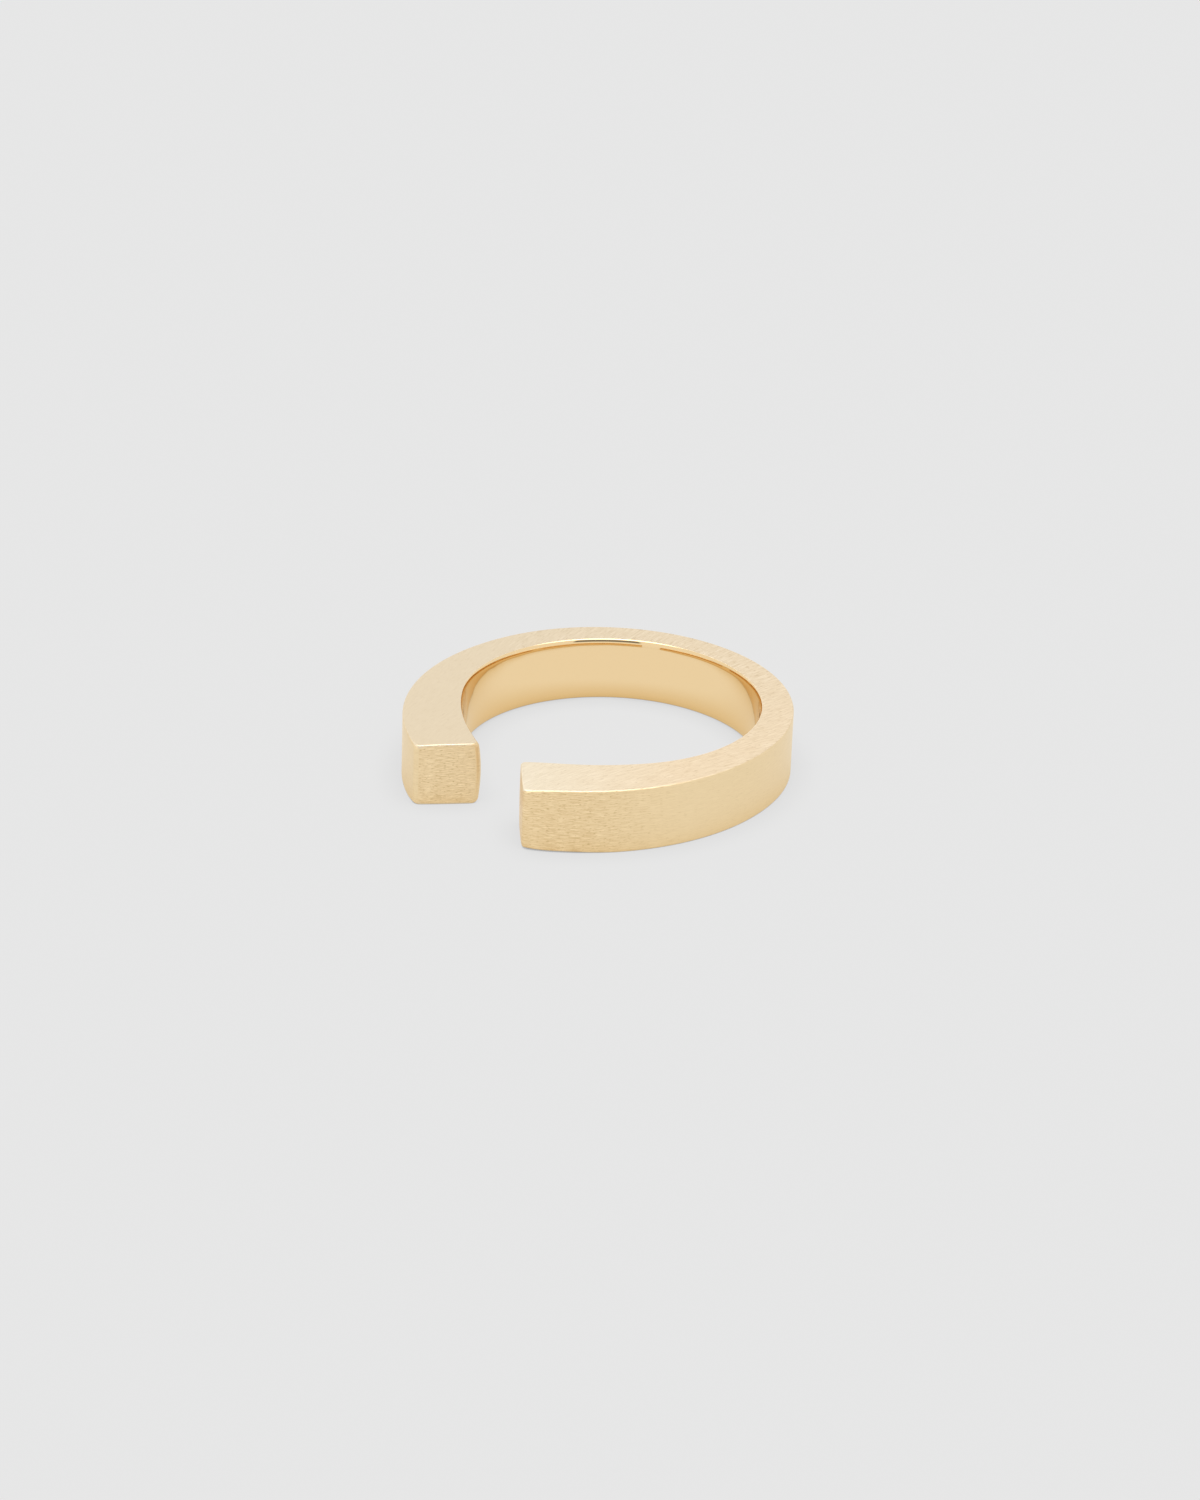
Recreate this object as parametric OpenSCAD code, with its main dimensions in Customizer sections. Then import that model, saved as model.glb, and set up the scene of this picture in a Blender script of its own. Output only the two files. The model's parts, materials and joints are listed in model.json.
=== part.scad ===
// Split band ring: one piece of gold that is bent round until its two square-cut ends
// face each other across a small gap. The wall is thin opposite the gap and grows along
// both arms, so that the two end faces are almost square.
//
// Axes: +Z is the finger axis, the ring lies on Z = 0, and the gap faces -Y.
// X = 0 is the plane of symmetry. The origin is the middle of the footprint.
// Angles along the band are measured at the finger axis from +Y, the middle of the back.

/* [Finger hole] */
// Inside diameter where the comfort-fit wall stands in furthest
hole_d = 17.3; // [16.5:0.1:18.1]
// Inside radius of each arm
arm_in_r = 15.5; // [14:0.5:18]

/* [Band] */
// Height of the band along the finger
band_h = 3.9; // [3.4:0.1:4.6]
// Wall at the middle of the back, the thinnest place
back_wall = 1.9; // [1.75:0.05:2.05]
// Outside radius of the back
back_out_r = 10.95; // [10.8:0.05:11.1]
// Outside radius of each side and arm
arm_out_r = 13.2; // [12.8:0.1:13.6]

/* [Ends] */
// Angle between the ring's long axis and the normal of each end face
end_turn = 46; // [46:1:48]
// Distance from the finger axis to the plane of each end face
end_reach = 5.85; // [5.65:0.05:6]

/* [Edges] */
// Rounding of the two outside edges and of the end faces' top and bottom edges
out_round = 0.1; // [0.1:0.05:0.3]
// Rounding of the two inside edges
in_round = 0.12; // [0.08:0.02:0.2]
// Rounding of the upright corners of the end faces
corner_round = 0.3; // [0.2:0.05:0.4]
// Profile radius of the slightly domed inside wall
dome_r = 10.7; // [10:0.1:16]

/* [Hidden] */
$fn = 120;
gold = [0.90, 0.79, 0.58];

hole_r = hole_d / 2;
mid = band_h / 2;
// Half the height of the domed stretch, and how far its ends stand back from its crest
dome_half = mid - in_round;
dome_back = dome_r - sqrt(dome_r * dome_r - dome_half * dome_half);
// The rounding of an upright corner starts this far under the walls, so that it cuts clean
bite = 0.01;

// Outward directions at which the outside gets flatter (73.7 degrees from the back) and the
// hole gives way to a straighter arm (126.9 degrees). They are 24-7-25 and 4-3-5 triangles,
// so that two neighbouring arcs meet on exactly the same plane.
out_turn = [0.96, 0.28];
hole_turn = [0.8, -0.6];

// Centres of the four arcs of the right half. Two arcs that follow each other are tangent,
// so both centres lie on the line through the place where they meet.
hole_c = [0, 0];
back_c = [0, hole_r + back_wall - back_out_r];
arm_out_c = back_c + (back_out_r - arm_out_r) * out_turn;
arm_in_c = hole_c + (hole_r - arm_in_r) * hole_turn;

// Angle about an arm's inside centre from where the arm starts to 2 degrees past the plane
// of symmetry, in the gap, where the cuts of the two arms cross and meet no metal
arm_in_sweep = acos(-arm_in_c[0] / arm_in_r) - atan2(-hole_turn[1], hole_turn[0]) + 2;

// Outward normal of the right end face and the direction along that face
end_n = [-sin(end_turn), -cos(end_turn)];
end_t = [cos(end_turn), -sin(end_turn)];

// Where the line at distance q along end_n meets the circle (c, r): the root on side s
function on_end(c, r, q, s) =
    let (d = q - (c * end_n), m = c * end_t)
    q * end_n + (m + s * sqrt(r * r - d * d)) * end_t;

// Centres of the roundings of the upright corners: the outer one, which is the ring's
// lowest Y, and the inner one, at the crest of the wall
corner_q = end_reach - corner_round - bite;
outer_corner_c = on_end(arm_out_c, arm_out_r - corner_round - bite, corner_q, 1);
inner_corner_c = on_end(arm_in_c, arm_in_r + corner_round + bite, corner_q, 1);

// The footprint's middle is moved to the origin
front_y = outer_corner_c[1] - corner_round;
back_y = hole_r + back_wall;
middle_y = (front_y + back_y) / 2;

// Half a profile of the solid disc: straight outside wall at radius r, with rounded edges
module outside_profile(r, inner = 0) {
    translate([inner, 0]) square([r - out_round - inner, band_h]);
    translate([inner, out_round]) square([r - inner, band_h - 2 * out_round]);
    for (z = [out_round, band_h - out_round])
        translate([r - out_round, z]) circle(out_round);
}

// Half a profile of what the finger hole takes away: its wall is domed towards the finger
// at radius r, and flares over the rounding of each edge
module hole_profile(r, inner = 0) {
    edge = r + dome_back;
    difference() {
        translate([inner, -1]) square([edge + in_round - inner, band_h + 2]);
        translate([r + dome_r, mid]) intersection() {
            circle(dome_r);
            square([2 * dome_r, 2 * dome_half], center = true);
        }
        for (z = [in_round, band_h - in_round])
            translate([edge + in_round, z]) circle(in_round);
    }
}

// Turns a profile about centre c, from direction d by angle a, anticlockwise if positive
module turn(c, d, a)
    multmatrix([[d[0], -d[1], 0, c[0]], [d[1], d[0], 0, c[1]], [0, 0, 1, 0]])
        rotate_extrude(angle = a) children();

// Turns a profile all round centre c, and keeps what lies on the +Y side of the two lines
// from c along direction d and its mirror image
module turn_back(c, d) {
    far = 2 * back_out_r;
    intersection() {
        translate([c[0], c[1], 0]) rotate_extrude() children();
        translate([0, 0, -band_h]) linear_extrude(3 * band_h)
            polygon([c, c + far * d, [far, 2 * far], [-far, 2 * far],
                     c + far * [-d[0], d[1]]]);
    }
}

module both_sides() {
    children();
    mirror([1, 0, 0]) children();
}

// All that lies behind the right end face, with the face's top and bottom edges rounded
module behind_end() {
    back = 30;
    rotate([0, 0, -90 - end_turn]) rotate([90, 0, 0])
        linear_extrude(height = 4 * back_out_r, center = true) {
            translate([-back, 0]) square([back + end_reach - out_round, band_h]);
            translate([-back, out_round]) square([back + end_reach, band_h - 2 * out_round]);
            for (z = [out_round, band_h - out_round])
                translate([end_reach - out_round, z]) circle(out_round);
        }
}

// What rounding takes off an upright corner between walls with outward normals a and b:
// all beyond the chord between the two places where the rounding starts, but its cylinder
module corner_cut(c, a, b) {
    m = a + b;
    reach = corner_round * norm(m) / 2;
    width = 2 * sqrt(corner_round * corner_round - reach * reach) + corner_round;
    translate([c[0], c[1], -1]) difference() {
        rotate([0, 0, atan2(m[1], m[0])]) translate([reach, -width / 2, 0])
            cube([2 * corner_round, width, band_h + 2]);
        cylinder(r = corner_round, h = band_h + 2);
    }
}

// All that lies inside the outside wall
module disc() {
    turn_back(back_c, out_turn) outside_profile(back_out_r);
    both_sides() intersection() {
        turn(arm_out_c, out_turn, -100) outside_profile(arm_out_r, arm_out_r / 2);
        behind_end();
    }
}

module finger_hole() {
    turn_back(hole_c, hole_turn) hole_profile(hole_r);
    both_sides() turn(arm_in_c, hole_turn, -arm_in_sweep) hole_profile(arm_in_r);
}

module band() {
    out_a = outer_corner_c - arm_out_c;
    in_a = arm_in_c - inner_corner_c;
    color(gold) translate([0, -middle_y, 0]) difference() {
        disc();
        finger_hole();
        both_sides() {
            corner_cut(outer_corner_c, out_a / norm(out_a), end_n);
            corner_cut(inner_corner_c, in_a / norm(in_a), end_n);
        }
    }
}

band();
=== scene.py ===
# %% [markdown]
# # A split band ring in satin gold
# The real object is one finger ring of pale yellow gold. Its band is thin at the back, grows
# along two arms and stops at two blunt ends that face each other across a small gap. The
# CAD model has the exact solid, so this lesson gives it what a solid can't have: brushed
# outer faces, a polished inside, and the soft light that makes both readable.

# %% Load the frame
import json
import math

import bpy
import numpy as np
from mathutils import Matrix, Vector


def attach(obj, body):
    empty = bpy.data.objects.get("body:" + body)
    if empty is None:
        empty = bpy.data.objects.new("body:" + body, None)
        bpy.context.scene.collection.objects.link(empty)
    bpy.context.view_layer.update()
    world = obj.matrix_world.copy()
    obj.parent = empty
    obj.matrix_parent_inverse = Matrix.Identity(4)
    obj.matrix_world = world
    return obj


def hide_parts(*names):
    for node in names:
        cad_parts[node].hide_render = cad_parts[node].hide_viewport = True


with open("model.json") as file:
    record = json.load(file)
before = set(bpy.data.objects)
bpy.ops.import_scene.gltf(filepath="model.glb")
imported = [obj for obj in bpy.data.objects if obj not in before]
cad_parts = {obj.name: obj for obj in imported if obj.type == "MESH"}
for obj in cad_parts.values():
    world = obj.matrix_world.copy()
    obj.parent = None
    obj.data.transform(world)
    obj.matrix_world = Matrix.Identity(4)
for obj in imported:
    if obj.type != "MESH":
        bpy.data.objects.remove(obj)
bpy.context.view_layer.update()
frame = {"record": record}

# %% [markdown]
# ## Sizes
# These are the named sizes of the CAD source, in millimetres. A jeweller would quote the
# finger size first: everything else is laid out round the finger hole. Angles along the
# band are measured from +Y, the middle of the back, and X = 0 is the plane of symmetry.

# %% Sizes of the ring
MM = 0.001

HOLE_R = 8.65          # inside radius at the crest of the comfort-fit wall
ARM_IN_R = 15.5        # inside radius of the straighter arms
BAND_H = 3.9           # height along the finger
BACK_WALL = 1.9        # wall at the middle of the back
BACK_OUT_R = 10.95     # outside radius of the back
ARM_OUT_R = 13.2       # outside radius of the sides and arms
END_TURN = math.radians(46)     # from the long axis to the normal of an end face
END_REACH = 5.85       # from the finger axis to the plane of an end face
OUT_ROUND = 0.1        # rounding of the outside edges
CORNER_ROUND = 0.3     # rounding of the upright corners of the end faces

MID = BAND_H / 2
OUT_TURN = np.array([0.96, 0.28])    # direction at which the outside gets flatter
HOLE_TURN = np.array([0.8, -0.6])    # direction at which the hole gives way to an arm

HOLE_C = np.array([0.0, 0.0])
BACK_C = np.array([0.0, HOLE_R + BACK_WALL - BACK_OUT_R])
ARM_OUT_C = BACK_C + (BACK_OUT_R - ARM_OUT_R) * OUT_TURN
ARM_IN_C = HOLE_C + (HOLE_R - ARM_IN_R) * HOLE_TURN
END_N = np.array([-math.sin(END_TURN), -math.cos(END_TURN)])
END_T = np.array([math.cos(END_TURN), -math.sin(END_TURN)])


def on_line(centre, radius, q, side):
    """Where the line at distance q along END_N meets a circle: the root on side +1 or -1.
    With m the centre's place along the line and d its distance from it, the point is
    q END_N + (m +- sqrt(radius^2 - d^2)) END_T."""
    d = q - centre @ END_N
    along = centre @ END_T + side * np.sqrt(np.maximum(radius**2 - d**2, 0.0))
    return np.multiply.outer(q, END_N) + np.multiply.outer(along, END_T)


corner_q = END_REACH - CORNER_ROUND
OUT_CORNER_C = on_line(ARM_OUT_C, ARM_OUT_R - CORNER_ROUND, np.array(corner_q), 1)
IN_CORNER_C = on_line(ARM_IN_C, ARM_IN_R + CORNER_ROUND, np.array(corner_q), 1)
seat = next(m for m in frame["record"]["mounts"] if m["name"] == "finger_seat")
AXIS_Y = seat["pos_m"][1] / MM       # the finger axis lies this far from the origin
print(f"finger axis at y = {AXIS_Y:.3f} mm")

# %% [markdown]
# ## The stations of the band
# A ring like this starts as a bar that is forged thicker towards its ends, and is then bent
# round a mandrel. The mesh follows that: a profile is carried from one end to the other.
# Each station is a straight line across the wall in plan, from a point of the inside to a
# point of the outside. Near an end the stations turn parallel to the end face, so that its
# edges can be rounded by drawing the profile in over the last fractions of a millimetre.
# The alternative, a bevel modifier on the CAD mesh, would round all edges alike and can't
# carry the direction of the brushing.

# %% Walls in plan
PARALLEL = 1.6         # the last stretch of an arm, in which stations are parallel to its end
ROUND_REACH = 1.3 * CORNER_ROUND    # and the part of it with the corner roundings
BACK_STATIONS = 210
END_STATIONS = 9
ROUND_STATIONS = 14


def wall(t, near, far, turn):
    """Point of a wall whose normal is turned by t from +Y: centre + radius (sin t, cos t),
    on the near arc up to the turn and on the far arc past it."""
    limit = math.atan2(turn[0], turn[1])
    use_far = (t > limit)[:, None]
    centre = np.where(use_far, far[0], near[0])
    radius = np.where(use_far, far[1], near[1])
    return centre + radius * np.stack([np.sin(t), np.cos(t)], axis=1)


def angle_on(point, centre):
    """Turn of the normal, from +Y, at a point of a circle round centre."""
    return math.atan2(point[0] - centre[0], point[1] - centre[1])


start = np.array(END_REACH - PARALLEL)      # distance along END_N at which they get parallel
t_out = angle_on(on_line(ARM_OUT_C, ARM_OUT_R, start, 1), ARM_OUT_C)
t_in = angle_on(on_line(ARM_IN_C, ARM_IN_R, start, 1), ARM_IN_C)
print("the stations turn parallel where the walls have turned by",
      round(math.degrees(t_out)), "and", round(math.degrees(t_in)), "degrees")

# %% Stations along one arm
share = np.linspace(0, 1, BACK_STATIONS)
back_out = wall(share * t_out, (BACK_C, BACK_OUT_R), (ARM_OUT_C, ARM_OUT_R), OUT_TURN)
back_in = wall(share * t_in, (HOLE_C, HOLE_R), (ARM_IN_C, ARM_IN_R), HOLE_TURN)

quarter_turn = np.linspace(0, math.pi / 2, ROUND_STATIONS)
depth = np.concatenate([
    np.linspace(PARALLEL, ROUND_REACH, END_STATIONS)[1:-1],
    ROUND_REACH * (1 - np.sin(quarter_turn)),
])
q = END_REACH - depth
# A corner's circle takes over from the wall at the place where the two are tangent.
out_tangent = (OUT_CORNER_C + CORNER_ROUND * (OUT_CORNER_C - ARM_OUT_C)
               / np.linalg.norm(OUT_CORNER_C - ARM_OUT_C)) @ END_N
in_tangent = (IN_CORNER_C + CORNER_ROUND * (ARM_IN_C - IN_CORNER_C)
              / np.linalg.norm(ARM_IN_C - IN_CORNER_C)) @ END_N
end_out = np.where((q > out_tangent)[:, None],
                   on_line(OUT_CORNER_C, CORNER_ROUND, q, 1),
                   on_line(ARM_OUT_C, ARM_OUT_R, q, 1))
end_in = np.where((q > in_tangent)[:, None],
                  on_line(IN_CORNER_C, CORNER_ROUND, q, -1),
                  on_line(ARM_IN_C, ARM_IN_R, q, 1))

half_out = np.concatenate([back_out, end_out])
half_in = np.concatenate([back_in, end_in])
half_depth = np.concatenate([np.full(BACK_STATIONS, PARALLEL), depth])
print(f"{len(half_out)} stations from the back to an end, wall {BACK_WALL} mm to "
      f"{np.linalg.norm(end_out[-1] - end_in[-1]):.2f} mm between the corner roundings")

# %% [markdown]
# The ring is forged and bent as one bar, and its two arms are mirror images. The left one
# could be made by a mirror modifier, but a single run of stations from end to end leaves no
# seam at the back and gives every station its distance along the band.

# %% Both arms
FLIP = np.array([-1.0, 1.0])
outside = np.concatenate([half_out[:0:-1] * FLIP, half_out])
inside = np.concatenate([half_in[:0:-1] * FLIP, half_in])
from_end = np.concatenate([half_depth[:0:-1], half_depth])
arm = np.sign(np.arange(len(outside)) - (len(half_out) - 1))
steps = np.linalg.norm(np.diff((outside + inside) / 2, axis=0), axis=1)
run = np.concatenate([[0], np.cumsum(steps)])
run -= run[-1] / 2                   # distance along the band from the middle of the back
to_end = run[-1] - np.abs(run)       # and to the nearer end
print(f"{len(outside)} stations, {2 * run[-1]:.1f} mm along the middle of the wall")

# %% [markdown]
# ## The profile
# Across the wall the profile is a rounded rectangle whose inside bulges towards the finger
# by up to a tenth of a millimetre. Jewellers call that a comfort fit: the ring slides over
# the knuckle on the crest of the bulge. The bulge is flattest at the back, where the mandrel
# held the metal, and roundest at the ends. Buffing takes the inside edges down further, to
# a quarter of an ellipse that is taller than it is deep: its slow turn is what stretches the
# reflections under the rim into thin bands. Each of the four sides starts and ends half way
# round a corner, and opposite sides have as many points as each other, so that the end faces
# can be closed with a plain grid.

# %% Sizes and parts of the profile
CORNER_STEPS = 4       # steps in an eighth of a turn
ACROSS = 12            # steps across the top or bottom
UP = 16                # steps up a wall
GUARD = 0.03           # a row this close to each corner keeps its shading off the flat face
END_ROUND = 0.28       # a profile corner is this round at the end face
DOME_BACK_R = 18.0     # profile radius of the inside wall at the back
DOME_END_R = 12.0      # and at the ends
BUFF_DEPTH = 0.11      # half axes of the buffed inside edges, across and up
BUFF_HEIGHT = 0.40
BUFF_STEPS = 8         # steps on each of the two parts of a buffed edge
BUFF_SPLIT = math.radians(75)    # where the edge goes over from the inside to the top


def dome(z, radius):
    """How far the inside wall stands back from its crest at height z: the rise of a circle
    of that radius."""
    return radius - np.sqrt(radius**2 - (z - MID) ** 2)


def buffed(a, z, depth, height, lean, up, angle_from, angle_to, steps):
    """Points of a buffed edge: a quarter of an ellipse from the wall at (a, z), whose normal
    turns by the given angles, on top of the lean of the wall: a + depth (1 - cos) +
    lean height sin across, and height sin above or below z."""
    angle = np.linspace(angle_from, angle_to, steps + 1)
    rise = height * np.sin(angle)
    return a + depth * (1 - np.cos(angle)) + lean * rise, z + up * rise


def spread(first, last, count):
    """count + 3 values from first to last, one column each: the two ends, a guard next to
    each of them, and even steps between the guards."""
    sign = np.sign(last - first)
    shares = np.linspace(0, 1, count + 1)
    inner_first = first + sign * GUARD
    inner_last = last - sign * GUARD
    between = inner_first + (inner_last - inner_first) * shares
    return np.concatenate([first, between, last], axis=1)


def arc(a, z, radius, angle_from, angle_to):
    """Points of a corner: centre (a, z) + radius (cos, sin) over the given angles."""
    angle = np.linspace(angle_from, angle_to, CORNER_STEPS + 1)
    return a + radius * np.cos(angle), z + radius * np.sin(angle)


def side(*pieces):
    """Joins pieces end to end, without the point that each shares with the next."""
    joined = []
    for axis in (0, 1):
        parts = [np.broadcast_arrays(*p)[axis] for p in pieces]
        joined.append(np.concatenate([p[:, :-1] for p in parts[:-1]] + [parts[-1]], axis=1))
    return joined


z_buff = BAND_H - BUFF_HEIGHT
print(f"where the buffing starts, the dome stands back {dome(z_buff, DOME_BACK_R):.2f} mm at "
      f"the back and {dome(z_buff, DOME_END_R):.2f} mm at the ends")


# %% The profile as an array
def profile(width, inset, dome_r, share_end):
    """The closed outline at each station: a runs from the crest of the inside wall to the
    outside wall, z from the underside to the top. inset draws the underside and top in,
    which rounds the ends, and with share_end the corners go over to those of an end face.
    Gives the four sides, each (a, z)."""
    width, inset, dome_r = width[:, None], inset[:, None], dome_r[:, None]
    share_end = share_end[:, None]
    r_out = OUT_ROUND + (END_ROUND - OUT_ROUND) * share_end
    depth = BUFF_DEPTH + (END_ROUND - BUFF_DEPTH) * share_end
    height = BUFF_HEIGHT + (END_ROUND - BUFF_HEIGHT) * share_end
    low, high = inset, BAND_H - inset
    z_low, z_high = low + height, high - height
    lean = (z_high - MID) / dome_r
    a_wall = dome(z_high, dome_r)
    a_in = a_wall + depth + lean * height
    a_out = width - r_out
    eighth, quarter, split = math.pi / 4, math.pi / 2, BUFF_SPLIT

    def edge(up, angle_from, angle_to):
        """A stretch of the upper buffed edge if up is 1, and of the lower if it is -1."""
        z = z_high if up > 0 else z_low
        return buffed(a_wall, z, depth, height, lean, up, angle_from, angle_to, BUFF_STEPS)

    bottom = side(edge(-1, split, quarter),
                  (spread(a_in, a_out, ACROSS), low),
                  arc(a_out, low + r_out, r_out, 6 * eighth, 7 * eighth))
    outer = side(arc(a_out, low + r_out, r_out, 7 * eighth, 8 * eighth),
                 (width, spread(low + r_out, high - r_out, UP)),
                 arc(a_out, high - r_out, r_out, 0, eighth))
    top = side(arc(a_out, high - r_out, r_out, eighth, 2 * eighth),
               (spread(a_out, a_in, ACROSS), high),
               edge(1, quarter, split))
    fall_steps = UP + 2 + 2 * CORNER_STEPS - 2 * BUFF_STEPS
    fall = z_high + (z_low - z_high) * np.linspace(0, 1, fall_steps + 1)
    inner = side(edge(1, split, 0), (dome(fall, dome_r), fall), edge(-1, 0, split))
    return bottom, outer, top, inner


width = np.linalg.norm(outside - inside, axis=1)
near_end = np.clip(OUT_ROUND - from_end, 0, None)
inset = OUT_ROUND - np.sqrt(OUT_ROUND**2 - near_end**2)
off_back = np.abs(np.arange(len(outside)) / (len(half_out) - 1) - 1)    # 0 there, 1 at an end
dome_r = DOME_BACK_R + (DOME_END_R - DOME_BACK_R) * off_back
share_end = np.clip(1 - from_end / PARALLEL, 0, 1) ** 2
sides = profile(width, inset, dome_r, share_end)
side_steps = [s[0].shape[1] - 1 for s in sides]
loop_a = np.concatenate([s[0][:, :-1] for s in sides], axis=1)
loop_z = np.concatenate([s[1][:, :-1] for s in sides], axis=1)
print(f"{loop_a.shape[1]} points round the profile, sides of {side_steps} steps")

# %% [markdown]
# ## Into space
# The end faces aren't quite flat on the real ring: filing by hand leaves them a few
# hundredths of a millimetre higher in the middle than at their rims, and takes a little more
# off their inside. It also takes the top down by a tenth towards the ends, most of all at
# the outer corner, and lifts the underside of the right arm nearly as much. That could be
# sculpted, but small shifts of the points, which fade out along the arm, have sizes that
# can be read and changed.

# %% From stations and profile to points
CROWN_UP = 0.02        # how far an end face stands back at its top and bottom
CROWN_ACROSS = 0.03    # and at its sides
# Where there are two values, the first is for the left arm and the second for the right.
TRIM_IN = np.array([0.065, 0.065])     # how far the inside of an end is filed back
TRIM_OUT = np.array([0.0, 0.045])      # and its outside
TOP_FALL = np.array([0.07, 0.11])      # how far the top falls over the last stretch of an arm
TOP_TILT = np.array([0.09, 0.10])      # and how much further at its outer edge
FALL_LENGTH = 3.2      # that stretch, along the band
FOOT_RISE = np.array([0.0, 0.07])      # how far the underside rises towards an end
RISE_FROM, RISE_TO = 6.0, 2.5          # distances from the end over which it does


def smooth(value, low, high):
    """A soft rise from 0 at low to 1 at high: 3 s^2 - 2 s^3 of the share s on the way."""
    share = np.clip((value - low) / (high - low), 0, 1)
    return share * share * (3 - 2 * share)


def place(a, z, station):
    """The point at a across the wall and z up, at a station: inside + a (outside - inside) /
    width, moved back along the normal of the end face by its crown and its trim, and down
    by the fall of the top, all of which fade as the square of the distance from the end,
    and up by the rise of the underside."""
    across = (outside[station] - inside[station]) / width[station][:, None]
    plan = inside[station][:, None, :] + a[:, :, None] * across[:, None, :]
    fade = np.clip(1 - from_end[station] / PARALLEL, 0, 1)[:, None] ** 2
    up = (z - MID) / MID
    out = 2 * a / width[station][:, None] - 1
    right = (arm[station] > 0).astype(int)[:, None]
    trim = (TRIM_IN[right] * (1 - out) + TRIM_OUT[right] * (1 + out)) / 2
    shift = fade * (CROWN_UP * up**2 + CROWN_ACROSS * out**2 + trim)
    normal = np.stack([arm[station] * END_N[0], np.full(len(station), END_N[1])], axis=1)
    plan = plan - shift[:, :, None] * normal[:, None, :]
    fall = np.clip(1 - to_end[station] / FALL_LENGTH, 0, 1)[:, None] ** 2
    tilt = TOP_TILT[right] * np.clip(out, 0, 1) ** 2
    drop = fall * (TOP_FALL[right] + tilt) * np.clip(up, 0, 1)
    lift = FOOT_RISE[right] * smooth(to_end[station], RISE_FROM, RISE_TO)[:, None]
    return np.concatenate([plan, (z - drop + lift * np.clip(-up, 0, 1))[:, :, None]], axis=2)


skin = place(loop_a, loop_z, np.arange(len(outside)))
print("skin of", skin.shape[0], "x", skin.shape[1], "points")

# %% [markdown]
# The end faces are where the bar was cut and filed square. One face with many corners would
# close each of them, but its shading would smear. A grid that is blended from the four sides
# of the profile stays even, bends with the crown and carries the grain.


# %% The end faces
def cap(station):
    """The points of an end face, filled in from its four sides: each is the sum of the two
    straight blends between opposite sides, less the blend of the corners."""
    bottom, outer, top, inner = [np.stack([s[0][station], s[1][station]], axis=-1)
                                 for s in sides]
    top, inner = top[::-1], inner[::-1]
    i = np.linspace(0, 1, len(bottom))[:, None, None]
    j = np.linspace(0, 1, len(outer))[None, :, None]
    blend = ((1 - j) * bottom[:, None] + j * top[:, None]
             + (1 - i) * inner[None, :] + i * outer[None, :])
    corners = ((1 - i) * (1 - j) * bottom[0] + i * (1 - j) * bottom[-1]
               + (1 - i) * j * top[0] + i * j * top[-1])
    return np.moveaxis(blend - corners, -1, 0)


def cap_mesh(station, first_index, outward):
    """The inner points, the faces and the grain map of an end face, whose rim is the skin's
    own row of points. The grain map has the width of the wall as U and the height as V."""
    a, z = cap(station)
    rows, cols = a.shape
    ring = station * skin.shape[1]
    index = np.zeros((rows, cols), int)
    wide, tall = side_steps[0], side_steps[1]
    index[:, 0] = ring + np.arange(rows)
    index[-1, :] = ring + wide + np.arange(cols)
    index[:, -1] = ring + wide + tall + np.arange(rows)[::-1]
    index[0, :] = ring + 2 * wide + tall + np.arange(cols)[::-1]
    index[0, 0] = ring
    count = (rows - 2) * (cols - 2)
    index[1:-1, 1:-1] = first_index + np.arange(count).reshape(rows - 2, cols - 2)
    inner_a = a[1:-1, 1:-1].reshape(1, -1)
    inner_z = z[1:-1, 1:-1].reshape(1, -1)
    points = place(inner_a, inner_z, np.array([station]))[0]
    quads = np.stack([index[:-1, :-1], index[1:, :-1], index[1:, 1:], index[:-1, 1:]], axis=-1)
    along = np.stack([a[:-1, :-1], a[1:, :-1], a[1:, 1:], a[:-1, 1:]], axis=-1)
    height = np.stack([z[:-1, :-1], z[1:, :-1], z[1:, 1:], z[:-1, 1:]], axis=-1)
    if not outward:
        quads, along, height = quads[..., ::-1], along[..., ::-1], height[..., ::-1]
    return points, quads.reshape(-1, 4), np.stack([along, height], -1).reshape(-1, 4, 2)


rows, cols = skin.shape[:2]
left_points, left_quads, left_uv = cap_mesh(0, rows * cols, False)
right_points, right_quads, right_uv = cap_mesh(rows - 1, rows * cols + len(left_points), True)
print("each end face has", len(left_quads), "faces")

# %% [markdown]
# ## The grain map
# Brushing runs in one direction on each face: along the band on the outside, level on the
# ends, and from front to back over the whole ring on the top and bottom. Those are rubbed on
# abrasive paper by hand, and the strokes fan out a little, as if they swung about a point a
# few centimetres in front of the ring. A UV map called grain has U along the brushing and V
# across it, both in millimetres, so one brushed material serves every face.

# %% Faces, finishes and the grain map
# The first four stand in the order of the profile's sides.
UNDER_FACE, OUTER_FACE, TOP_FACE, INNER_FACE, END_FACE = range(5)
FAN_Y = -36.0          # the strokes on the top and underside swing about this point
ENDS_APART = 40.0      # between the grains of the two ends, so that they differ

row, col = np.meshgrid(np.arange(rows - 1), np.arange(cols), indexing="ij")
next_col = (col + 1) % cols
skin_quads = np.stack([row * cols + col, row * cols + next_col,
                       (row + 1) * cols + next_col, (row + 1) * cols + col], axis=-1)
skin_quads = skin_quads.reshape(-1, 4)
side_of_col = np.searchsorted(np.cumsum([0] + side_steps), np.arange(cols), side="right") - 1
skin_region = side_of_col[col.reshape(-1)]

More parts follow.
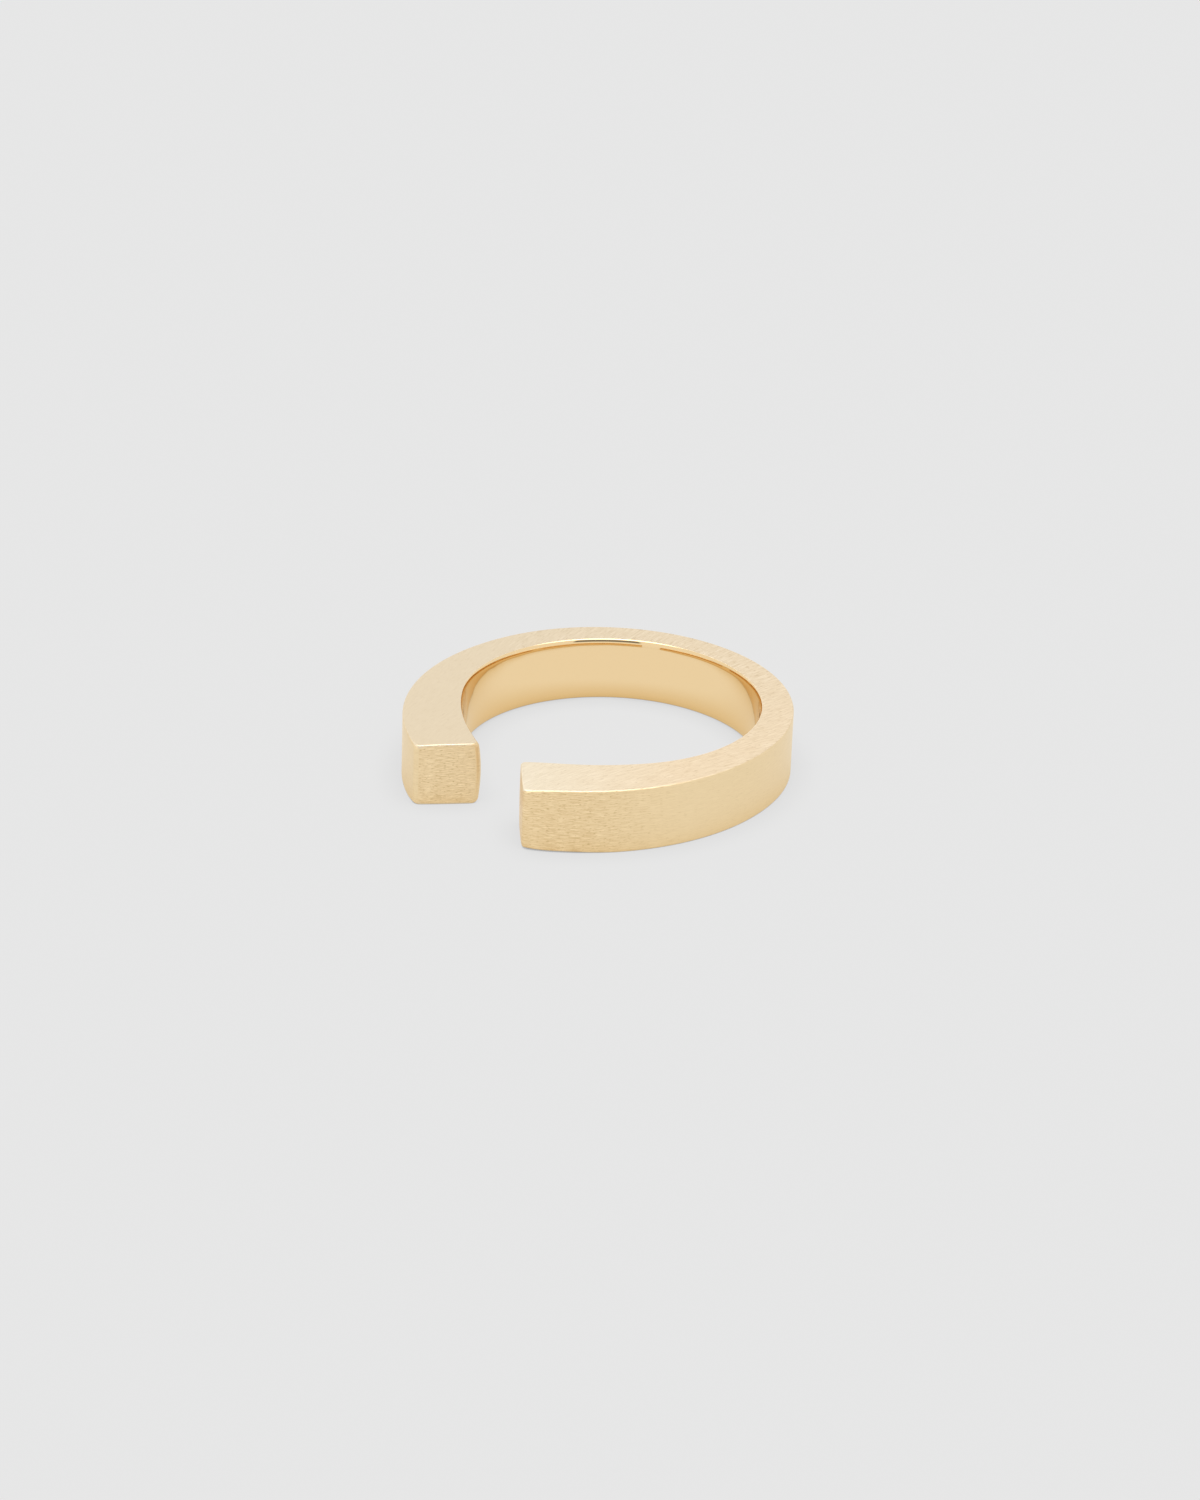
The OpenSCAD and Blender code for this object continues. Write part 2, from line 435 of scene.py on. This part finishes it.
skin_points = skin.reshape(-1, 3)
fan_u = np.hypot(skin_points[:, 0], skin_points[:, 1] - FAN_Y)
fan_v = np.arctan2(skin_points[:, 0], skin_points[:, 1] - FAN_Y) * abs(FAN_Y)
skin_uv = np.empty((len(skin_quads), 4, 2))
flat = (skin_region == UNDER_FACE) | (skin_region == TOP_FACE)
skin_uv[..., 0] = np.where(flat[:, None], fan_u[skin_quads],
                           np.repeat(run, cols)[skin_quads])
skin_uv[..., 1] = np.where(flat[:, None], fan_v[skin_quads], skin_points[skin_quads, 2])

right_uv[..., 0] += ENDS_APART

points = np.concatenate([skin_points, left_points, right_points])
points[:, 1] += AXIS_Y
quads = np.concatenate([skin_quads, left_quads, right_quads])
grain_uv = np.concatenate([skin_uv, left_uv, right_uv])
region = np.concatenate([skin_region, np.full(len(left_quads) + len(right_quads), END_FACE)])
print(len(points), "points,", len(quads), "faces,", len(quads) * 2, "triangles")

# %% [markdown]
# ## Where the hand pressed, and painted light on the top
# The grain isn't even: it is coarse on the ends and on the last stretch of the right arm, and
# faint on the left arm, where the metal was rubbed down longer. The top is also painted
# lighter from the left end to the right, a little warmer and then paler: painted light, for
# the brighter light that falls on the right end. Two numbers at each point carry this to the
# material: coarse for the strength of the grain, and a second number for the tint, which
# follows the coarse grain on the walls and is the painted light on the top. A painted mask
# could do the same, but numbers follow the shape whenever its sizes change.

# %% Coarse, and tint with painted light
COARSE_FROM, COARSE_TO = 19.5, 25.5    # mm from the back over which the walls get coarse
LEFT_TO, LEFT_FROM = -15, -9   # mm along the band, where the left arm's faint grain sets in
LEFT_SHARE = 0.15      # how coarse the left arm is, as a share of the right
PAINTED_LIGHT_FROM, PAINTED_LIGHT_TO = -20.0, 30.0       # mm along the band over which the top's tint and its painted light change


def ramp(value, low, high):
    """Straight rise from 0 at low to 1 at high."""
    return np.clip((value - low) / (high - low), 0, 1)


along = np.repeat(run, cols)
on_flat = np.isin(np.tile(side_of_col, rows), (UNDER_FACE, TOP_FACE))
hand = LEFT_SHARE + (1 - LEFT_SHARE) * ramp(along, LEFT_TO, LEFT_FROM)
coarse = hand * np.where(on_flat, 1.0, ramp(np.abs(along), COARSE_FROM, COARSE_TO))
tint_and_painted_light = np.where(on_flat, ramp(along, PAINTED_LIGHT_FROM, PAINTED_LIGHT_TO), coarse)
on_ends = np.ones(len(left_points) + len(right_points))
coarse = np.concatenate([coarse, on_ends])
tint_and_painted_light = np.concatenate([tint_and_painted_light, on_ends])
print("coarse on average", round(coarse.mean(), 2), "and tone", round(tint_and_painted_light.mean(), 2))

# %% [markdown]
# All of the band is one piece of metal, so it is one mesh, in which each face knows its
# finish. Four meshes, one per finish, would be easier to colour, but light would find the
# seams between them.


# %% The band's mesh
def make_mesh(name, points_mm, quads, uv, finish, values):
    """A mesh object from arrays, in metres, with smooth faces, a grain map, the material
    slot of each face and named values at its points."""
    mesh = bpy.data.meshes.new(name)
    mesh.from_pydata((points_mm * MM).tolist(), [], quads.tolist())
    layer = mesh.uv_layers.new(name="grain")
    layer.data.foreach_set("uv", uv.reshape(-1).astype(np.float32))
    mesh.polygons.foreach_set("material_index", finish.astype(np.int32))
    mesh.polygons.foreach_set("use_smooth", np.ones(len(quads), bool))
    for key, value in values.items():
        mesh.attributes.new(key, "FLOAT", "POINT").data.foreach_set("value", value)
    mesh.update()
    piece = bpy.data.objects.new(name, mesh)
    bpy.context.scene.collection.objects.link(piece)
    return piece


FINISH = {UNDER_FACE: 0, OUTER_FACE: 1, TOP_FACE: 0, INNER_FACE: 3, END_FACE: 2}
finish = np.array([FINISH[face] for face in sorted(FINISH)])[region]
# The upright inside corners of the ends are brushed with the ends.
station_of = np.repeat(np.arange(rows - 1), cols)
at_corner = np.minimum(station_of, rows - 2 - station_of) < ROUND_STATIONS - 1
finish[:len(skin_quads)][at_corner & (skin_region == INNER_FACE)] = FINISH[END_FACE]
band = make_mesh("gold_band", points, quads, grain_uv, finish, {"coarse": coarse, "tint_and_painted_light": tint_and_painted_light})
print("faces of each finish:", np.bincount(finish))
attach(band, "root")
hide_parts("band")

# %% [markdown]
# ## Gold, and how it is finished
# The metal is 14-karat yellow gold: pale, because it is more than a third silver and
# copper. Brushing with fine abrasive leaves parallel scratches a few hundredths of a
# millimetre apart. Most are finer than the picture can show, so the shader draws them as
# roughness that is stronger across the grain, and the coarser ones are a bump. Modelled
# scratches would be truer, but would take millions of faces.


# %% Colour and node helpers
def linear(hex_colour, alpha=1.0):
    """An sRGB hex colour as the linear values that shaders want."""
    out = []
    for first in (0, 2, 4):
        value = int(hex_colour[first:first + 2], 16) / 255
        out.append(value / 12.92 if value <= 0.04045 else ((value + 0.055) / 1.055) ** 2.4)
    return (*out, alpha)


def node(tree, kind, settings=None, inputs=None, **values):
    """Adds a node of a kind with its settings, and feeds its inputs: each from a socket of
    another node, or with a value of its own."""
    new = tree.nodes.new(kind)
    for key, value in (settings or {}).items():
        setattr(new, key, value)
    feeds = dict(inputs or {})
    feeds.update((key.replace("_", " "), value) for key, value in values.items())
    for key, value in feeds.items():
        if isinstance(value, bpy.types.NodeSocket):
            tree.links.new(value, new.inputs[key])
        else:
            new.inputs[key].default_value = value
    return new


def with_stops(ramp, stops):
    """The colour that a colour ramp gives with these stops, each (share, hex colour)."""
    elements = ramp.color_ramp.elements
    elements[0].position, elements[0].color = stops[0][0], linear(stops[0][1])
    elements[1].position, elements[1].color = stops[-1][0], linear(stops[-1][1])
    for position, colour in stops[1:-1]:
        elements.new(position).color = linear(colour)
    return ramp.outputs["Color"]


def new_material(name):
    """An empty material and its node tree."""
    material = bpy.data.materials.new(name)
    material.use_nodes = True
    material.node_tree.nodes.clear()
    return material, material.node_tree


print("pale gold in linear values:", [round(v, 3) for v in linear("E8D0A5")[:3]])

# %% [markdown]
# ### Brushed gold
# The real grain is thousands of short strokes of abrasive. A photograph of brushed metal
# could be wrapped round the band, but it would show its seams and carry its own light. Noise
# that is stretched along the strokes has neither, and its spacing is a size in millimetres.

# %% Values of the grain
ANISOTROPY = 0.5       # brushed metal scatters light about twice as far across the strokes
GRAIN_DEPTH = 2e-6     # m, of the coarse strokes
SMOOTH_SHARE = 0.2     # strength of the grain where it isn't coarse
DEEP_SHORTER = 0.4     # length of the deep cuts, as a share of the other strokes
DEEP_FINER = 0.9       # and their spacing
DEEP_SHIFT = (7, 3, 0)         # so that the two noises don't follow each other
CUT_FROM, CUT_TO = 0.66, 0.74  # peaks of the deep noise that become a cut
UNCUT, CUT = 0.5, -0.1         # what they add to the height outside a cut and in it
LOW, HIGH = -0.5, 0.5          # the lowest and highest relief
DEEPER = 0.35          # how many more times the lowest places are painted as if light met the gold

# The top's tints carry painted light: lighter to the right, palest at the right end.
TOP_TINTS_WITH_PAINTED_LIGHT = [(0.1, "E7D7BB"), (0.8, "EDD9BA"), (1.0, "F0E4CD")]
WALL_TINTS = [(0.0, "E9D3AA"), (1.0, "E8CFA3")]
END_TINTS = [(0.0, "E8D0A5"), (1.0, "E8D0A6")]
print("cuts are made by the highest", round(100 * (1 - CUT_FROM)), "percent of the noise's range")


# %% Brushed gold
def brushed_gold(name, tints, roughness, spacing, length, contrast):
    """Strokes run along U. Noise is squeezed to the stroke spacing across them and
    stretched to their length along them. A second, shorter noise, of which only the peaks
    are kept, makes the few deep cuts. relief = strength (noise + cut - 1), where the
    strength is 1 if the metal is coarse and SMOOTH_SHARE elsewhere. The grain's colour
    carries painted shade: low places are painted darker by the contrast and high places
    lighter, and low places are painted deeper in colour, a painted stand-in for light that
    meets the gold n times on its way out and has the colour to the power n."""
    material, tree = new_material(name)
    uv = node(tree, "ShaderNodeUVMap", {"uv_map": "grain"})
    coarse = node(tree, "ShaderNodeAttribute", {"attribute_name": "coarse"})
    tint_and_painted_light = node(tree, "ShaderNodeAttribute", {"attribute_name": "tint_and_painted_light"})
    fine_map = node(tree, "ShaderNodeMapping", Vector=uv.outputs["UV"],
                    Scale=(1 / length, 1 / spacing, 1))
    fine = node(tree, "ShaderNodeTexNoise", {"noise_dimensions": "2D"},
                Vector=fine_map.outputs["Vector"], Scale=1.0, Detail=2.0, Roughness=0.6)
    deep_map = node(tree, "ShaderNodeMapping", Vector=uv.outputs["UV"], Location=DEEP_SHIFT,
                    Scale=(1 / (DEEP_SHORTER * length), 1 / (DEEP_FINER * spacing), 1))
    deep = node(tree, "ShaderNodeTexNoise", {"noise_dimensions": "2D"},
                Vector=deep_map.outputs["Vector"], Scale=1.0, Detail=1.0, Roughness=0.5)
    cut = node(tree, "ShaderNodeMapRange", {"interpolation_type": "SMOOTHSTEP"},
               Value=deep.outputs["Fac"], From_Min=CUT_FROM, From_Max=CUT_TO,
               To_Min=UNCUT, To_Max=CUT)
    height = node(tree, "ShaderNodeMath", {"operation": "ADD"},
                  {0: fine.outputs["Fac"], 1: cut.outputs["Result"]})
    level = node(tree, "ShaderNodeMath", {"operation": "SUBTRACT"},
                 {0: height.outputs["Value"], 1: 1.0})
    strength = node(tree, "ShaderNodeMapRange", Value=coarse.outputs["Fac"],
                    To_Min=SMOOTH_SHARE, To_Max=1.0)
    relief = node(tree, "ShaderNodeMath", {"operation": "MULTIPLY"},
                  {0: level.outputs["Value"], 1: strength.outputs["Result"]})
    bump = node(tree, "ShaderNodeBump", Height=relief.outputs["Value"], Strength=1.0,
                Distance=GRAIN_DEPTH)
    tint = with_stops(node(tree, "ShaderNodeValToRGB", Fac=tint_and_painted_light.outputs["Fac"]), tints)
    # Painted shade in the grain: low places get a darker, deeper base colour, high places a paler
    # one.
    meetings = node(tree, "ShaderNodeMapRange", Value=relief.outputs["Value"],
                    From_Min=LOW, From_Max=HIGH, To_Min=1 + DEEPER, To_Max=1 - DEEPER)
    deeper = node(tree, "ShaderNodeGamma", Color=tint, Gamma=meetings.outputs["Result"])
    shade = node(tree, "ShaderNodeMapRange", Value=relief.outputs["Value"],
                 From_Min=LOW, From_Max=HIGH, To_Min=1 - contrast, To_Max=1 + contrast)
    shaded = node(tree, "ShaderNodeVectorMath", {"operation": "SCALE"},
                  {0: deeper.outputs["Color"]}, Scale=shade.outputs["Result"])
    tangent = node(tree, "ShaderNodeTangent", {"direction_type": "UV_MAP", "uv_map": "grain"})
    # A quarter of a turn lays the spread of the light across the strokes.
    shader = node(tree, "ShaderNodeBsdfPrincipled", Base_Color=shaded.outputs["Vector"],
                  Normal=bump.outputs["Normal"], Tangent=tangent.outputs["Tangent"],
                  Metallic=1.0, Roughness=roughness, Anisotropic=ANISOTROPY,
                  Anisotropic_Rotation=0.25)
    node(tree, "ShaderNodeOutputMaterial", Surface=shader.outputs["BSDF"])
    return material


top_gold = brushed_gold("gold_rubbed_flat", TOP_TINTS_WITH_PAINTED_LIGHT, roughness=0.5, spacing=0.055,
                        length=1.2, contrast=0.13)
wall_gold = brushed_gold("gold_brushed_round", WALL_TINTS, roughness=0.46, spacing=0.044,
                         length=0.8, contrast=0.2)
end_gold = brushed_gold("gold_brushed_end", END_TINTS, roughness=0.46, spacing=0.042,
                        length=0.6, contrast=0.23)
print("brushed finishes:", [m.name for m in (top_gold, wall_gold, end_gold)])

# %% [markdown]
# ### Polished gold
# The inside is buffed with a felt cone until it is a mirror, so that it slides over skin. A
# plain smooth metal would look like chrome on a screen: the slight waviness of hand work and
# a haze of fine marks, both drawn by noise, make its reflections soft.


# %% Polished gold
WAVE_DEPTH = 6e-6      # m
HAZE = 0.015           # how far the haze takes the roughness up and down


def polished_gold(name, colour, roughness):
    """A mirror with a faint waviness, a millimetre or two across, whose roughness changes by
    HAZE in patches of half a millimetre."""
    material, tree = new_material(name)
    uv = node(tree, "ShaderNodeUVMap", {"uv_map": "grain"})
    wave = node(tree, "ShaderNodeTexNoise", {"noise_dimensions": "2D"},
                Vector=uv.outputs["UV"], Scale=0.7, Detail=1.0, Roughness=0.4)
    bump = node(tree, "ShaderNodeBump", Height=wave.outputs["Fac"], Strength=1.0,
                Distance=WAVE_DEPTH)
    haze = node(tree, "ShaderNodeTexNoise", {"noise_dimensions": "2D"},
                Vector=uv.outputs["UV"], Scale=2.0, Detail=3.0, Roughness=0.6)
    rough = node(tree, "ShaderNodeMapRange", Value=haze.outputs["Fac"], From_Min=0.3,
                 From_Max=0.7, To_Min=roughness - HAZE, To_Max=roughness + HAZE)
    shader = node(tree, "ShaderNodeBsdfPrincipled", Base_Color=linear(colour), Metallic=1.0,
                  Roughness=rough.outputs["Result"], Normal=bump.outputs["Normal"])
    node(tree, "ShaderNodeOutputMaterial", Surface=shader.outputs["BSDF"])
    return material


inside_gold = polished_gold("gold_polished_inside", "ECD0A1", roughness=0.05)
for material in (top_gold, wall_gold, end_gold, inside_gold):
    band.data.materials.append(material)
print("finishes:", [m.name for m in band.data.materials])

# %% [markdown]
# ## Camera
# The picture is taken with a long lens from 25 degrees above the table. Its place comes from
# a fit of the camera to the ring's edges: it looks at a point just in front of the middle,
# turned 40 degrees from the ring's long axis, and leans by two degrees. Setting it by eye
# would be quicker, but then no edge would tell whether the ring or the view is wrong.

# %% Camera
TURN = 39.68           # degrees from the ring's long axis to the view, seen from above
ELEVATION = 25.235
LEAN = 2.07
DISTANCE = 261.8       # mm
AIM = np.array([-0.6, -2.577, 1.8])    # mm, from the finger axis, in the camera's directions
FOCAL_PX = 4474.5      # focal length in pixels of a picture of this height
PICTURE_PX = 1500
SENSOR = 36.0          # mm

turn = Matrix.Rotation(math.radians(TURN), 4, "Z")
tip = math.radians(ELEVATION)
forward = Vector((0, math.cos(tip), -math.sin(tip)))
eye = Vector(AIM) - DISTANCE * forward
shift = Matrix.Translation((0, AXIS_Y * MM, 0))
pose = Matrix.Rotation(math.pi / 2 - tip, 4, "X") @ Matrix.Rotation(math.radians(LEAN), 4, "Z")
camera_data = bpy.data.cameras.new("camera")
camera_data.sensor_fit = "VERTICAL"
camera_data.sensor_height = SENSOR
camera_data.lens = FOCAL_PX / PICTURE_PX * SENSOR
camera_data.clip_start = 0.01
camera_data.clip_end = 20
camera = bpy.data.objects.new("camera", camera_data)
bpy.context.scene.collection.objects.link(camera)
camera.matrix_world = shift @ turn @ Matrix.Translation(eye * MM) @ pose
bpy.context.scene.camera = camera
print("lens", round(camera_data.lens, 1), "mm, eye at",
      [round(v * 1000, 1) for v in camera.matrix_world.translation])

# %% [markdown]
# ## Table
# Metal shows nothing but its surroundings. The ring lies on a light table, a pale sheet lit
# from below, which is how small jewellery is photographed without a shadow. The trace of
# shadow close to the metal is painted shade: the sheet's own glow is darkened where the metal
# is near. In the metal that darkened glow is also painted warm, a painted reflection of gold
# light thrown on the sheet. A white floor under lamps would need a shadow to be painted out.
# The sheet gives the metal more light than it gives the camera, as a table does that is
# brighter outside the picture.

# %% Floor
FLOOR_GLOW = 0.77      # light of the sheet itself
IN_METAL = 1.25        # how much brighter it looks in the metal than to the camera
FLOOR_WHITE = "242424"     # colour of what it returns of the light of the tent
# Painted shade on the sheet: how far from the metal its light is full, in mm, and its colour
# beside and under the metal, to the camera and in the metal. The colours in the metal are
# painted warm, a painted stand-in for the metal colouring the light that it throws
PAINTED_SHADE_SEEN = (2.0, "F7F7F7", "A0A0A0")
PAINTED_SHADE_IN_METAL = (2.5, "F0E4CC", "A08C64")
REACH = 2.0            # m
floor_mesh = bpy.data.meshes.new("floor")
floor_mesh.from_pydata([(-REACH, -REACH, 0), (REACH, -REACH, 0), (REACH, REACH, 0),
                        (-REACH, REACH, 0)], [], [(0, 1, 2, 3)])
floor = bpy.data.objects.new("floor", floor_mesh)
bpy.context.scene.collection.objects.link(floor)
sheet, tree = new_material("light_table_sheet")


def glow_with_painted_shade(reach, beside, under):
    """The light of the sheet, as a share, from well under the metal to reach mm away: painted
    shade, darker where ambient occlusion finds the metal near.
    """
    near = node(tree, "ShaderNodeAmbientOcclusion", {"samples": 8}, Distance=reach * MM)
    return with_stops(node(tree, "ShaderNodeValToRGB", Fac=near.outputs["AO"]),
                      [(0, under), (0.5, beside), (0.97, "FFFFFF")])


# The sheet's glow carries painted shade near the metal, warm in reflections.
seen_by = node(tree, "ShaderNodeLightPath")
glow = node(tree, "ShaderNodeMix", {"data_type": "RGBA"},
            {6: glow_with_painted_shade(*PAINTED_SHADE_SEEN), 7: glow_with_painted_shade(*PAINTED_SHADE_IN_METAL)},
            Factor=seen_by.outputs["Is Glossy Ray"])
strength = node(tree, "ShaderNodeMapRange", Value=seen_by.outputs["Is Glossy Ray"],
                To_Min=FLOOR_GLOW, To_Max=FLOOR_GLOW * IN_METAL)
light = node(tree, "ShaderNodeEmission", Color=glow.outputs[2],
             Strength=strength.outputs["Result"])
paper = node(tree, "ShaderNodeBsdfDiffuse", Color=linear(FLOOR_WHITE))
both = node(tree, "ShaderNodeAddShader", None,
            {0: light.outputs["Emission"], 1: paper.outputs["BSDF"]})
node(tree, "ShaderNodeOutputMaterial", Surface=both.outputs["Shader"])
floor_mesh.materials.append(sheet)
print("sheet of", 2 * REACH, "m, with a glow of", FLOOR_GLOW)

# %% [markdown]
# ## Light tent
# Round the table hangs a tent of white cloth. It is pale all round, a lamp behind the cloth
# makes one patch of it bright, high up on the camera's side, and below that is a dark slot,
# where the camera looks in. The slot gives the thin dark line on the far inside edge, and
# the patch gives the light lines along the rounded edges in front. Area lamps could do the
# same, but a formula of the direction shows in one place what each part of the metal sees.

# %% Sizes of the tent
CLOTH_LIGHT = 1.02      # of the cloth
PATCH_LIGHT = 4.8      # of the bright patch
PATCH_FROM, PATCH_TO = 42, 54    # degrees above the table over which the patch starts
PATCH_END, PATCH_GONE = 68, 80   # degrees up from the table on the camera's side: its far edge
SLOT_TURN = 5          # degrees by which patch and slot lie to the right of the camera
SLOT_HALF_WIDTH = 25   # degrees
SLOT_LOW, SLOT_HIGH = 9, 30    # degrees above the table
SLOT_SOFT = 3          # degrees over which its edges fade
SLOT_LIGHT = 0.25      # light that is left in it
slot_way = math.radians(TURN + SLOT_TURN)
WAYS = {
    "up": (0, 0, 1),
    "to_slot": (math.sin(slot_way), -math.cos(slot_way), 0),
    "to_right": (math.cos(slot_way), math.sin(slot_way), 0),
}
print("the slot lies", TURN + SLOT_TURN, "degrees from the ring's long axis")

# %% The tent as a world
world = bpy.data.worlds.new("light_tent")
world.use_nodes = True
bpy.context.scene.world = world
tree = world.node_tree
tree.nodes.clear()
direction = node(tree, "ShaderNodeTexCoord")


def within(edges):
    """How far a direction lies inside a part of the tent, from 0 to 1: the product of a soft
    step for each of its edges, an angle with the degrees at which the step starts and ends."""
    share = 1.0
    for angle, starts, ends in edges:
        soft = node(tree, "ShaderNodeMapRange", {"interpolation_type": "SMOOTHSTEP"},
                    Value=angle, From_Min=math.radians(starts), From_Max=math.radians(ends),
                    To_Min=0.0, To_Max=1.0)
        share = node(tree, "ShaderNodeMath", {"operation": "MULTIPLY"},
                     {0: share, 1: soft.outputs["Result"]}).outputs["Value"]
    return share


part = {}      # how much of the direction lies along each way
for way, axis in WAYS.items():
    part[way] = node(tree, "ShaderNodeVectorMath", {"operation": "DOT_PRODUCT"},
                     {0: direction.outputs["Generated"], 1: axis}).outputs["Value"]
height = node(tree, "ShaderNodeMath", {"operation": "ARCSINE"},
              {0: part["up"]}).outputs["Value"]
turned = node(tree, "ShaderNodeMath", {"operation": "ARCTAN2"},
              {0: part["to_right"], 1: part["to_slot"]}).outputs["Value"]
off_slot = node(tree, "ShaderNodeMath", {"operation": "ABSOLUTE"},
                {0: turned}).outputs["Value"]
over = node(tree, "ShaderNodeMath", {"operation": "ARCTAN2"},
            {0: part["up"], 1: part["to_slot"]}).outputs["Value"]
in_patch = within([(height, PATCH_FROM, PATCH_TO), (over, PATCH_GONE, PATCH_END)])
in_slot = within([(off_slot, SLOT_HALF_WIDTH + SLOT_SOFT / 2, SLOT_HALF_WIDTH - SLOT_SOFT / 2),
                  (height, SLOT_LOW - SLOT_SOFT / 2, SLOT_LOW + SLOT_SOFT / 2),
                  (height, SLOT_HIGH + SLOT_SOFT / 2, SLOT_HIGH - SLOT_SOFT / 2)])
cloth = node(tree, "ShaderNodeMapRange", Value=in_patch, To_Min=CLOTH_LIGHT, To_Max=PATCH_LIGHT)
left_by_slot = node(tree, "ShaderNodeMapRange", Value=in_slot, To_Min=1.0, To_Max=SLOT_LIGHT)
strength = node(tree, "ShaderNodeMath", {"operation": "MULTIPLY"},
                {0: cloth.outputs["Result"], 1: left_by_slot.outputs["Result"]})
background = node(tree, "ShaderNodeBackground", Color=(1, 1, 1, 1),
                  Strength=strength.outputs["Value"])
node(tree, "ShaderNodeOutputWorld", Surface=background.outputs["Background"])
print("the tent is drawn by", len(tree.nodes), "nodes")

# %% [markdown]
# ## Colours as they are
# A film-like view would lower the whites and grey the gold, so that no colour in the picture
# could be compared with a hex value. The plain one shows them as they are.

# %% View
view = bpy.context.scene.view_settings
view.view_transform = "Standard"
view.look = "None"
print("view:", view.view_transform)
